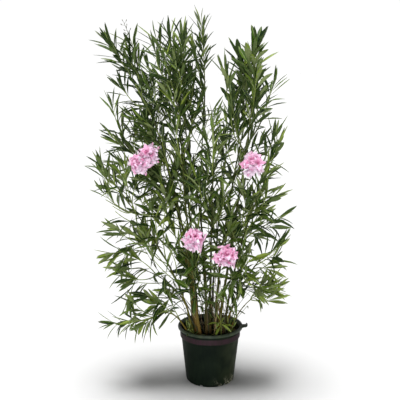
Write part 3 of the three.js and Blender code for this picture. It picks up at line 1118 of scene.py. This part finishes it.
def add_petal(piece, base, axis, outward, length, opening, tint, rng):
    """A ruffled petal that rises from its base along the flower's axis and opens outwards."""
    along = np.linspace(0, 1, PETAL_ROWS)[:, None]
    over = np.linspace(-1, 1, PETAL_COLUMNS)
    angle = opening * (0.35 + 0.75 * along)
    step = length / (PETAL_ROWS - 1)
    rise, out = (
        np.concatenate([[[0]], np.cumsum(f(angle[1:]) * step, axis=0)]) for f in (np.cos, np.sin)
    )
    middle = base + rise * axis + out * outward
    normal = np.cos(angle) * outward - np.sin(angle) * axis
    half = length * rng.uniform(0.22, 0.34) * np.sin(pi * (0.08 + 0.84 * along)) ** 0.8
    ruffle = np.sin(over * rng.uniform(2.5, 4.5) + rng.uniform(0, 6))
    ruffle = 0.07 * length * ruffle * along**2
    cup = -0.16 * length * over**2 * np.sin(pi * along * 0.9)
    slant = 0.10 * length * over * along**2 * rng.choice([-1, 1])
    shape = middle[:, None] + np.cross(axis, outward) * (half * over)[:, :, None]
    shape = shape + normal[:, None] * (ruffle + cup)[:, :, None]
    shape = shape + (axis * 0.4 + outward) * slant[:, :, None]
    lower = shape + normal[:, None] * PETAL_THICK
    tints = np.clip(tint + np.maximum(2 - PETAL_FACE_ROWS, 0), 0, DEEP)
    piece.add(np.concatenate([shape, lower]).reshape(-1, 3), [PETAL_FACES], [tints])


def add_flower(piece, centre, axis, radius, pallor, rng):
    """A double flower: four rings of petals round a throat, with a calyx behind."""
    sides = across(axis)
    base = centre - axis * radius * 0.55
    turn = rng.uniform(0, 2 * pi)
    for ring, (count, share, opening) in enumerate(PETAL_RINGS):
        for k in range(count):
            outward = spoke(sides, turn + ring * 0.7 + k * 2 * pi / count + rng.normal(0, 0.1))
            tint = int(np.clip(round(pallor + 0.80 * ring + rng.normal(0, 0.6)), 0, DEEP))
            length = radius * share * rng.uniform(0.78, 1.20)
            spread = opening * rng.uniform(0.88, 1.1)
            add_petal(piece, base, axis, outward, length, spread, tint, rng)
    add_tube(piece, base + np.outer(CALYX_STEPS, axis), CALYX_RADII, 8, CALYX)


def add_bud(piece, base, axis, length):
    """A closed, pointed bud."""
    share = np.array([0.0, 0.12, 0.3, 0.55, 0.8, 1.0])
    radii = np.array([0.25, 0.6, 0.8, 1.0, 0.65, 0.12]) * length * 0.22
    tints = [CALYX, CALYX, 2, 2, DEEP - 1]
    add_tube(piece, base + np.outer(share * length, axis), radii, 8, tints)


def grow_head(piece, stalks, limb, share, step, tilt, rng):
    """A dome of flowers and buds on branching stalks that come off a limb."""
    root = limb.at(limb.length * share)
    centre = root + step
    out = unit(np.array([0.25 * rng.normal(), -1.0, tilt]))
    fork = centre - out * HEAD_RADIUS * 1.5
    lift = root + limb.direction(limb.length * share) * HEAD_STEM_LIFT
    add_twig(stalks, Line(bezier(root, lift, fork)), HEAD_STEM_RADII, rng, 2)
    sides = across(out)
    for k in range(FLOWERS_A_HEAD):
        way = spoke(sides, k * GOLDEN_ANGLE + rng.uniform(-0.2, 0.2))
        face = unit(spoke((out, way), acos(1 - (k + 0.5) / FLOWERS_A_HEAD * 1.12)))
        place = centre + face * HEAD_RADIUS * rng.uniform(0.70, 1.12)
        radius = FLOWER_RADIUS * rng.uniform(0.80, 1.10)
        pallor = 0.9 - 1.3 * max(-face[2], 0) + rng.uniform(-0.8, 0.8)
        axis = unit(face + 0.25 * out + 0.2 * rng.normal(size=3))
        add_flower(piece, place, axis, radius, pallor, rng)
        stalk = bezier(fork, centre - out * 0.01, place - face * radius, STALK_STEP)
        add_tube(stalks, stalk, FLOWER_STALK, 6, 2)
    for k in range(BUDS_A_HEAD):
        way = spoke(sides, k * 1.3 + rng.uniform(-0.3, 0.3))
        base = centre + way * HEAD_RADIUS * 1.1 - out * 0.012
        stalk = bezier(fork, fork + out * 0.02 + way * 0.02, base, STALK_STEP)
        add_tube(stalks, stalk, BUD_STALK, 6, 2)
        add_bud(piece, base, unit(way + 0.5 * out), rng.uniform(*BUD_LENGTHS))


def grow_flowers(limbs, stalks):
    materials = living_set("petal", PETAL_TINTS, (0.45, 0.65), 500, 0.2)
    materials.append(living("calyx", CALYX_COLOUR, (0.5, 0.7), 500))
    piece = Piece("flower_heads", "petals", materials)
    for number, (name, share, step, tilt) in enumerate(HEADS):
        grow_head(piece, stalks, limbs[name], share, step, tilt, seeded(f"head {number}"))
    piece.build(sharp=70)


# ---- the pot

POT_SIDES = 160
POT_COLOURS = ((0.0014, 0.0044, 0.0022), (0.0065, 0.0120, 0.0060))
# The rim and lug are painted lighter than the wall: partly dust on the lip, partly a painted
# highlight.
RIM_COLOURS = ((0.010, 0.019, 0.010), (0.040, 0.055, 0.024))
BAND_COLOURS = ((0.0145, 0.0095, 0.0085), (0.030, 0.0115, 0.0195))
# Lightens the pot's right side: partly olive dust, partly painted light from that side.
DUST_AND_SHEEN_COLOUR = (0.026, 0.033, 0.015)
LIME_COLOUR = (0.48, 0.46, 0.34)
# The floor's radii and heights: out along its underside, and in along its upper side.
POT_UNDERSIDE = [(0.0, 0.0015), (0.060, 0.0015), (0.094, 0.0003)]
POT_FLOOR = [(0.094, 0.0050), (0.060, 0.0050), (0.0, 0.0050)]
# The heights at which the foot and the plain wall are read, as first, last and how many. The
# collar and rim are read from COLLAR to the top.
WALL_SPANS = ((0.0003, 0.008, 6), (0.016, 0.200, 12))
COLLAR, COLLAR_LEVELS = 0.204, 32
WARP, WARP_START, WARP_RISE = 0.0012, 0.10, 0.16  # the wall is most out of round at its top
FOOT_RADIUS = 0.106
FOOT_TOP = 0.012
RIM_HEIGHT, RIM_RADIUS = 0.250, 0.136  # the rim is above and outside these
DRAINS = 6
DRAIN_TURN = 0.12
DRAIN_HALF = 0.0075
DRAIN_HEIGHT = 0.0075


def wall_radii(triangles, height):
    """The outer and inner radius of the pot's wall at a height, on the side away from its lug."""
    side = triangles[:, :, 2] - height
    below = side < 0
    edges = [met(triangles, side, i, j, below[:, i] != below[:, j]) for i, j in EDGES]
    points = np.concatenate(edges)
    points = points[points[:, 0] < -0.02]
    radii = np.hypot(points[:, 0], points[:, 1])
    inner = radii[radii < (radii.max() + radii.min()) / 2]
    return radii.max(), inner.max() if len(inner) else None


def pot_profile():
    """Radius and height round the pot's wall: up the outside, over the lip and down the inside."""
    triangles = triangles_of("pot")
    points = triangles.reshape(-1, 3)
    top = points[points[:, 0] < 0, 2].max() - 0.0001  # the side away from the lug
    spans = (*WALL_SPANS, (COLLAR, top, COLLAR_LEVELS))
    levels = np.concatenate([np.linspace(*span) for span in spans])
    walls = [(*wall_radii(triangles, z), z) for z in levels]
    outside = [(outer, z) for outer, _, z in walls]
    inside = [(inner, z) for _, inner, z in walls if inner and z > FOOT_TOP]
    lip = ((outside[-1][0] + inside[-1][0]) / 2, top + 0.0006)
    return [*outside, lip, *inside[::-1]]


def turned(profile, sides=POT_SIDES):
    """Rings of points: a profile of radii and heights, turned round the upright axis."""
    return np.array([[polar(r, angle, z) for angle in circle(sides)] for r, z in profile])


def plastic(name, colours, scale, rough, specular):
    """Moulded plastic with faint mottling, scuffs and a fine grain."""
    surface = Surface(name, colours[0], sum(rough) / 2, specular)
    scuffs = surface.noise(90, 5, (1, 1, 0.16))
    mottle = surface.times(surface.noise(scale, 6), scuffs)
    surface.set("Base Color", surface.ramp(mottle, list(zip((0.16, 0.46), colours))))
    surface.roughen(scuffs, *rough)
    surface.emboss(surface.noise(700), 0.0003, 0.4)
    return surface


def weather_and_sheen(surface):
    """Olive dust and painted light that lighten the pot's right side, and pale lime specks near its
    foot.
    """
    x, z = surface.coordinate("X"), surface.coordinate("Z")
    clouds = surface.between(surface.noise(16, 4), 0.25, 0.60)
    # Lighter towards +X in clouds: partly dust, partly painted light on the pot's right side.
    dust_and_sheen = surface.times(surface.between(x, 0.02, 0.12), clouds)
    specks = surface.between(surface.noise(260, 2), 0.56, 0.62)
    patches = surface.between(surface.noise(30, 2), 0.46, 0.60)
    low_right = surface.times(surface.between(z, 0.055, 0.012), surface.between(x, 0.0, 0.09))
    lime = surface.times(surface.times(specks, patches), low_right)
    for mask, colour, most in ((dust_and_sheen, DUST_AND_SHEEN_COLOUR, 0.80), (lime, LIME_COLOUR, 1.0)):
        below = surface.shader.inputs["Base Color"].links[0].from_socket
        surface.set("Base Color", surface.overlay(below, colour, surface.times(mask, most)))


def build_pot():
    wall = plastic("pot_plastic", POT_COLOURS, 14, (0.50, 0.70), 0.07)
    weather_and_sheen(wall)
    rim = plastic("pot_rim", RIM_COLOURS, 20, (0.38, 0.55), 0.25)
    piece = Piece("pot_shell", "pot_plastic", [wall.material, rim.material])
    rings = turned([*POT_UNDERSIDE, *pot_profile(), *POT_FLOOR])
    radius, height = np.hypot(rings[:, :, 0], rings[:, :, 1]), rings[:, :, 2]
    angles = circle(POT_SIDES)
    warp = WARP * np.sin(3 * angles + 0.6) * np.clip((height - WARP_START) / WARP_RISE, 0, 1)
    rings[:, :, :2] *= (1 + warp / np.maximum(radius, 0.01))[:, :, None]
    half_gap = pi / DRAINS
    from_drain = np.abs((angles - DRAIN_TURN + half_gap) % (2 * half_gap) - half_gap)
    arch = np.clip(1 - (from_drain * FOOT_RADIUS / DRAIN_HALF) ** 4, 0, 1) * DRAIN_HEIGHT
    foot = (height < FOOT_TOP) & (radius > 0.09)
    rings[:, :, 2] += foot * arch * np.clip(1 - height / FOOT_TOP, 0, 1)
    # The rim's top and outer lip take the lighter rim colours, which hold a painted highlight.
    on_rim = (rings[:-1, :, 2].mean(1) > RIM_HEIGHT) & (radius[:-1].mean(1) > RIM_RADIUS)
    add_rings(piece, rings, rings[0, 0], rings[-1, 0], on_rim.astype(int))
    add_lug(piece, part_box("pot")[1][0])
    piece.build(["pot"], sharp=45)


# The lug's path out from the rim, as x and z, and its half-width as a share of the usual.
LUG_PATH = [
    (0.1440, 0.2570, 1.25), (0.1500, 0.2574, 1.10), (0.1570, 0.2577, 1.00), (0.1630, 0.2580, 0.98),
    (0.1675, 0.2588, 0.97), (0.1700, 0.2605, 0.96), (0.1710, 0.2632, 0.93), (0.1711, 0.2664, 0.84),
]
LUG_HALF_WIDE, LUG_HALF_THICK = 0.018, 0.0034
# The rib under it: how far its points lie in from the lug's reach, their heights, and its radii.
LUG_RIB = [
    (0.036, 0.2500, 0.0060), (0.026, 0.2510, 0.0058),
    (0.016, 0.2545, 0.0042), (0.009, 0.2570, 0.0020),
]


def add_lug(piece, reach):
    """The rim's lifting lug: a rounded tab on the +X side that curls up at its end."""
    x, z, breadth = np.array(LUG_PATH).T
    path = np.stack([x * (reach - LUG_HALF_THICK) / x[-1], 0 * x, z], axis=1)
    thick = np.cross(headings(path), BACK)
    angle = circle(16)[:, None]
    over, up = (
        np.sign(wave) * np.abs(wave) ** power
        for wave, power in ((np.cos(angle), 0.4), (np.sin(angle), 0.7))
    )
    rings = path[:, None] - LUG_HALF_WIDE * breadth[:, None, None] * over * BACK
    rings = rings + LUG_HALF_THICK * up * thick[:, None]
    add_rings(piece, rings, path[0], path[-1], 1)
    inward, z, radii = np.array(LUG_RIB).T
    add_tube(piece, np.stack([reach - inward, 0 * z, z], axis=1), radii, 12, 1)


BAND_THICK = 0.0012
BAND_LEVELS = 8


def build_band():
    """The plain wide plastic band round the pot's collar, slightly rippled."""
    low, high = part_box("pot_band")
    radius = high[0]
    band = plastic("band_plastic", BAND_COLOURS, 9, (0.5, 0.7), 0.12)
    piece = Piece("band_ring", "band_plastic", [band.material])
    levels = np.linspace(low[2], high[2], BAND_LEVELS)
    profile = [(radius - BAND_THICK, z) for z in levels[::-1]] + [(radius, z) for z in levels]
    for k in (BAND_LEVELS, -1):
        profile[k] = (radius - BAND_THICK / 2, profile[k][1])
    rings = turned(profile)
    angles = circle(POT_SIDES)
    rings[:, :, 2] += 0.0005 * np.sin(7 * angles) + 0.0003 * np.sin(17 * angles + 1.0)
    piece.add(rings.reshape(-1, 3), [wall_faces(len(rings), POT_SIDES, joined=True)], [0])
    piece.build(["pot_band"])


# ---- compost and what lies on it

COMPOST_RINGS, COMPOST_SIDES = 44, 132
COMPOST_COLOURS = [(0.38, (0.003, 0.0025, 0.001)), (0.68, (0.018, 0.013, 0.004))]
COMPOST_GAP = 0.0006  # to the pot's wall
COMPOST_RELIEF, FINEST_WAVE = 0.0045, 0.008
EDGE_DEPTH, SKIRT_DEPTH = 0.014, 0.016
CRUMBS = 420
CRUMB_SIZES = (0.0012, 0.0042)
CRUMB_COLOURS = {"dark": (0.007, 0.005, 0.002), "pale": (0.12, 0.085, 0.030)}
PALE_CRUMBS = 0.10
LITTER = 60
LITTER_LENGTHS, LITTER_WIDTHS = (0.035, 0.080), (0.005, 0.012)
STREWN = 44  # dead leaves that lie anywhere; the rest lie near the right of the pot
DRY_LITTER, GREEN_SHARE = 0.45, 0.35


def soft_noise(x, y, rng, finest):
    """Smooth random heights between about -1 and 1 from layers of slanted waves."""
    total = np.zeros_like(x)
    for octave in range(5):
        wave = 2 * pi / (finest * 2 ** (4 - octave))
        for _ in range(4):
            angle = rng.uniform(0, 2 * pi)
            slope = wave * (x * cos(angle) + y * sin(angle)) + rng.uniform(0, 6)
            total += np.sin(slope) / (octave + 2)
    return total / 3.2


def compost_material():
    surface = Surface("compost", (0.02, 0.014, 0.008), 0.9)
    clods = surface.noise(130, 6)
    surface.set("Base Color", surface.ramp(clods, COMPOST_COLOURS))
    surface.roughen(clods, 0.8, 1.0)
    surface.emboss(clods, 0.003, 1.0)
    return surface.material


def build_compost():
    _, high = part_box("compost")
    radius, top = high[0] - COMPOST_GAP, high[2]
    rng = seeded("compost")
    piece = Piece("compost_bed", "compost", [compost_material()])
    angles = circle(COMPOST_SIDES)
    reach = np.linspace(radius / COMPOST_RINGS, radius, COMPOST_RINGS)[::-1, None]
    x, y = reach * np.cos(angles), reach * np.sin(angles)
    z = top + COMPOST_RELIEF * soft_noise(x, y, rng, FINEST_WAVE)
    bed = np.stack([x, y, z], axis=-1)
    wall = bed[:1] * [1, 1, 0] + [0, 0, top - EDGE_DEPTH]
    skirt = wall * [0.94, 0.94, 1] - [0, 0, SKIRT_DEPTH]
    rings = np.concatenate([skirt, wall, bed])
    bottom = [0, 0, top - EDGE_DEPTH - SKIRT_DEPTH]
    add_rings(piece, rings, bottom, rings[-1].mean(0), 0)
    piece.build(["compost"], sharp=80)
    build_crumbs(radius, top, rng)
    build_litter(radius, top, rng)


def build_crumbs(radius, top, rng):
    """Loose crumbs and bits of root and bark on the compost."""
    materials = [
        living("crumb_" + name, colour, (0.8, 1.0), 400, 0.05)
        for name, colour in CRUMB_COLOURS.items()
    ]
    piece = Piece("compost_crumbs", "compost", materials)
    share = np.array([-1.0, -0.45, 0.4, 1.0])
    for _ in range(CRUMBS):
        out, turn = in_disc(radius * 0.97, rng)
        size = rng.uniform(*CRUMB_SIZES)
        place = polar(out, turn, top + 0.002 + 0.3 * size)
        way = unit(rng.normal(size=3) * [1, 1, 0.3])
        line = place + np.outer(share * size * rng.uniform(0.8, 2.6), way)
        radii = size * np.array([0.35, 0.9, 1.0, 0.4]) * rng.uniform(0.7, 1.1, 4)
        add_tube(piece, line, radii, 5, int(rng.random() < PALE_CRUMBS))
    piece.build(sharp=0)


def build_litter(radius, top, rng):
    """Dead leaves and straw lying on the compost."""
    blades = Blades(in_crown=False)
    for k in range(LITTER):
        out, turn = in_disc(radius * 0.88, rng)
        if k >= STREWN:
            out, turn = radius * rng.uniform(0.72, 0.92), rng.normal(-0.15, 0.35)
        place = polar(out, turn, top + rng.uniform(0.004, 0.010))
        along = unit(polar(1.0, rng.uniform(0, 2 * pi), rng.uniform(-0.08, 0.10)))
        length = rng.uniform(*LITTER_LENGTHS)
        start = place - along * length / 2
        if max(np.hypot(*end[:2]) for end in (start, start + along * length)) > radius:
            continue
        face = unit(UP - along * along[2] + rng.normal(size=3) * 0.25)
        face = square_to(face, along)
        dry = DRY_START + int(rng.random() < DRY_LITTER)
        tint = GREEN_LITTER if rng.random() < GREEN_SHARE else dry
        width, arch = rng.uniform(*LITTER_WIDTHS), rng.uniform(-0.5, 0.6)
        fold, sweep, twist = rng.uniform(0.1, 0.5), rng.normal(0, 0.1), rng.normal(0, 0.5)
        blades.add(start, along, face, (length, width, arch, fold, sweep, twist), tint, dry)
    blades.build("leaf_litter", leaf_materials("litter_"))


# ---- young growth at the foot

# BRIGHT's leaves take the lightest tints: partly the pale green of young growth, partly painted
# light, as if in sun.
BRIGHT = Habit(
    length=0.066, width=0.0165, spread=3.4, droop=0.5, tint=8.0, bare=0.6, gap=0.015, stem=3
)
SMALL = Habit(length=0.052, width=0.008, spread=1.3, droop=0.5, tint=3.8, bare=0.4, stem=3)
WEED = Habit(
    length=0.040, width=0.009, spread=1.6, droop=0.5, tint=2.0, bare=0.15, gap=0.016, stem=3
)
BRIGHT_FOOT, BRIGHT_STEP = (0.050, -0.076), (-0.004, -0.020, 0.086)
# The way to the tip of a small sucker, by the cane it stands in front of.
SMALL_STEPS = dict(left_wide=(-0.022, -0.035, 0.050), right_low=(-0.004, -0.030, 0.055))
WEED_TURNS = (2.7, 3.1, 3.5, 3.9, -0.35, 0.1)
WEED_RADIUS = 0.104
SUCKER_RADII = (0.0022, 0.0013)
STRAYS = 54  # bare and barely leafy stems that cross each other between the canes
STRAY_RADIUS = 0.098
STRAY_RISES = (0.10, 0.32)
STRAY_THICK, STRAW_THICK = 0.0018, 0.0013
STRAY_TINTS = (SHADED, 0, STRAW, SHADED, BROWN, 0)
STRAY_LEAVES = Habit(length=0.060, width=0.0105, spread=1.2, droop=0.4, tint=1.6, bare=0.55)


# The lone stem: its foot's place beside a cane, the way to its tip, its radii and its bud.
LONE_FOOT, LONE_STEP, LONE_RADII = (0.012, -0.01), (0.095, 0.0, 0.125), (0.0013, 0.0010)
LONE_BUD_STEPS, LONE_BUD_RADII = [0, 0.004, 0.010, 0.015], [0.001, 0.0028, 0.0024, 0.0006]


def rising(foot, tip, outward, upward):
    """A stem whose first stretch goes by these shares of the whole way out and up."""
    return Line(bezier(foot, foot + (tip - foot) * [outward, outward, upward], tip))


def grow_suckers(limbs, blades, twigs, top, rng):
    """Young shoots from the foot of the canes, and small ones round the wall."""
    suckers = [(np.array([*BRIGHT_FOOT, top]), BRIGHT_STEP, BRIGHT)]
    for name, step in SMALL_STEPS.items():
        foot = limbs[name].points[0] * [1, 1, 0] + [0, -0.012, top]
        suckers.append((foot, step, SMALL))
    for turn in WEED_TURNS:
        suckers.append((polar(WEED_RADIUS, turn, top), (0.010 * cos(turn), -0.012, 0.040), WEED))
    for foot, step, habit in suckers:
        line = rising(foot, foot + step, 0.2, 0.7)
        grow_shoot(blades, twigs, line, habit, rng, SUCKER_RADII)


def grow_strays(blades, twigs, top, rng):
    """Thin stems that rise from among the canes' feet and lean out, mostly to the left."""
    for k in range(STRAYS):
        out, turn = in_disc(STRAY_RADIUS, rng)
        foot = np.array([out * cos(turn), 0.9 * out * sin(turn), top])
        rise = rng.uniform(*STRAY_RISES)
        lean_x = 0.35 * cos(turn) + rng.uniform(-0.75, 0.45)
        lean_y = 0.15 * sin(turn) + rng.uniform(-0.2, 0.1)
        tip = foot + [*(np.clip([lean_x, lean_y], -0.95, 0.70) * rise), rise]
        line = rising(foot, tip, 0.25, 0.6)
        tint = STRAY_TINTS[k % len(STRAY_TINTS)]
        thick = STRAW_THICK if tint == STRAW else STRAY_THICK
        radii = np.linspace(thick, 0.4 * thick, len(line.points))
        add_tube(twigs, line.points, radii, 5, tint)
        if tint == 0:
            leaf_shoot(blades, line, STRAY_LEAVES, rng)


def grow_lone_stem(limbs, twigs, top, rng):
    """A thin stem that leans out to the right over the rim, with a bud hanging from its tip."""
    foot = limbs["right_wide"].points[0] * [1, 1, 0] + [*LONE_FOOT, top]
    tip = foot + LONE_STEP
    add_twig(twigs, rising(foot, tip, 0.45, 0.5), LONE_RADII, rng, 0)
    add_tube(twigs, tip + np.outer(LONE_BUD_STEPS, [0.2, 0, -1]), LONE_BUD_RADII, 6, 1)


def grow_base(limbs, blades, twigs):
    """Young leafy shoots and thin bare twigs from among the canes' feet."""
    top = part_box("compost")[1][2]
    rng = seeded("base")
    grow_suckers(limbs, blades, twigs, top, rng)
    grow_strays(blades, twigs, top, rng)
    grow_lone_stem(limbs, twigs, top, rng)


# ---- the crown

STOREYS = {"low": (0.0, 0.85), "middle": (0.85, 1.3), "top": (1.3, 2.0)}


def build_crown(limbs):
    """Shoots in the room of every mass, then spurs, filling shoots, young growth and blossom."""
    masses = [Mass(name, limbs) for name in named("leaves_")]
    leaves = leaf_materials()
    twigs = Piece("twigs", "bark", living_set("twig", TWIG_TINTS, (0.5, 0.7), 600))
    for storey, (low, high) in STOREYS.items():
        members = [mass for mass in masses if low <= mass.height < high]
        blades = Blades()
        for mass in members:
            grow_mass(mass, blades, twigs)
        blades.build("sprays_" + storey, leaves, [mass.node for mass in members])
    blades = Blades()
    for name, limb in limbs.items():
        grow_spurs(name, limb, blades, twigs)
    grow_filling(limbs, blades, twigs)
    blades.in_crown = False
    grow_base(limbs, blades, twigs)
    blades.build("sprays_spurs", leaves)
    grow_flowers(limbs, twigs)
    twigs.build(sharp=60)


# ---- the studio

# The sine of the elevation where the bright surround ends, and where the dim ceiling starts.
SKY_EDGE = (0.20, 0.34)
SURROUND, CEILING = 1.02, 0.07
# Each light: its name, power, breadth in degrees, and the way towards it.
LIGHTS = [
    ("overhead", 5.9, 31, (-0.06, 0.02, 1.0)),
    ("front", 2.0, 28, (-0.12, -1.0, 0.14)),
]
FLOOR_HALF = 60
FLOOR_COLOUR = (0.51, 0.51, 0.51)
LENS = 66.7  # millimetres
LOOKING_DOWN = 11  # degrees


def build_world():
    """A white surround at eye level, dimmer overhead, so that most light comes from the lamps."""
    world = bpy.data.worlds.new("studio")
    bpy.context.scene.world = world
    world.use_nodes = True
    nodes = Nodes(world.node_tree)
    height = nodes.coordinate("Z", "Generated")
    strength = nodes.between(height, *SKY_EDGE, SURROUND, CEILING)
    background = world.node_tree.nodes["Background"]
    nodes.feed(background, {"Color": (1, 1, 1, 1), "Strength": strength})


def build_light(name, power, breadth, toward):
    """A broad soft light, so far off that it comes from one way."""
    data = bpy.data.lights.new(name, "SUN")
    data.energy = power
    data.angle = radians(breadth)
    placed(name, data).rotation_euler = Vector(toward).to_track_quat("Z", "Y").to_euler()


def build_studio():
    build_world()
    for light in LIGHTS:
        build_light(*light)
    mesh = bpy.data.meshes.new("floor")
    corners = [(FLOOR_HALF * x, FLOOR_HALF * y, 0) for x, y in ((-1, -1), (1, -1), (1, 1), (-1, 1))]
    mesh.from_pydata(corners, [], [(0, 1, 2, 3)])
    floor = placed("floor", mesh)
    surface = Surface("floor", FLOOR_COLOUR, 0.8, 0.1)
    surface.roughen(surface.noise(30), 0.8, 0.9)
    mesh.materials.append(surface.material)
    bpy.context.scene.view_settings.view_transform = "Standard"


def build_camera():
    data = bpy.data.cameras.new("camera")
    data.lens = LENS
    camera = placed("camera", data)
    camera.location = EYE
    camera.rotation_euler = (radians(90 - LOOKING_DOWN), 0, 0)
    bpy.context.scene.camera = camera


# ---- everything in order

limbs = read_limbs()
build_bark(limbs)
build_crown(limbs)
build_pot()
build_band()
build_compost()
build_studio()
build_camera()
